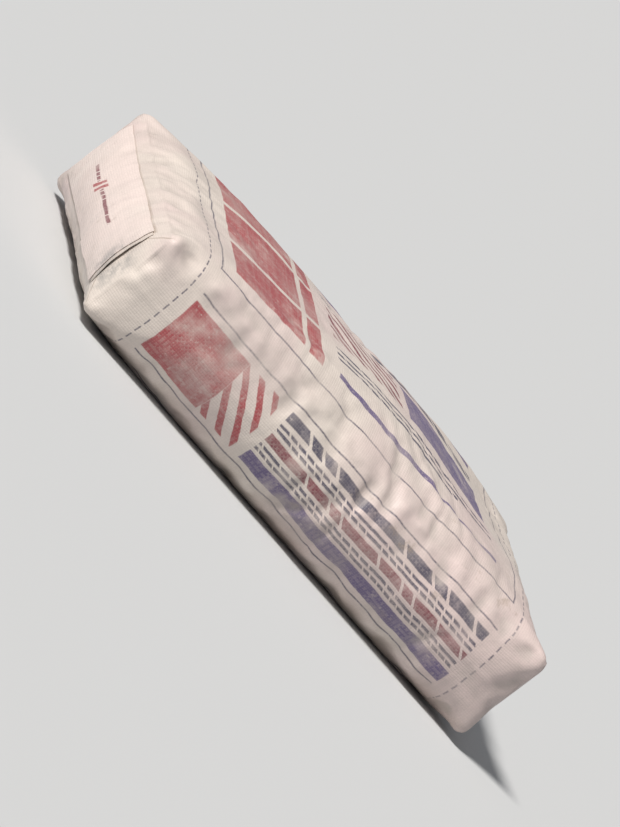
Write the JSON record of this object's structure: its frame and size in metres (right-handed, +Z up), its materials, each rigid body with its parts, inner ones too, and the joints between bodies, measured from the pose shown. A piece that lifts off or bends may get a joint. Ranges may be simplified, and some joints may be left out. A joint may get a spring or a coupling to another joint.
{
  "type": "cement bag",
  "caption": "Filled block-bottom valve sack of cement lying flat, with rounded long sides, block-folded ends and welded end patches over a corner filling valve.",
  "frame": {"origin": "on the floor, under the middle of the sack as it lies flat", "axes": "+X along the sack from the valve end to the closed end, +Y across it, +Z up out of the broad top face; the filling valve is at the -X end on the -Y side"},
  "size_m": [0.6318, 0.4058, 0.16],
  "materials": {
    "woven_sack": "coated woven polypropylene, satin, dusty",
    "cover_patch": "coated woven polypropylene patch, satin",
    "valve_patch": "coated woven polypropylene, matt inner side"
  },
  "bodies": {
    "root": {"sack_body": "woven_sack", "valve_end_cover_patch": "cover_patch", "closed_end_cover_patch": "cover_patch", "valve_patch": "valve_patch"}
  },
  "joints": []
}
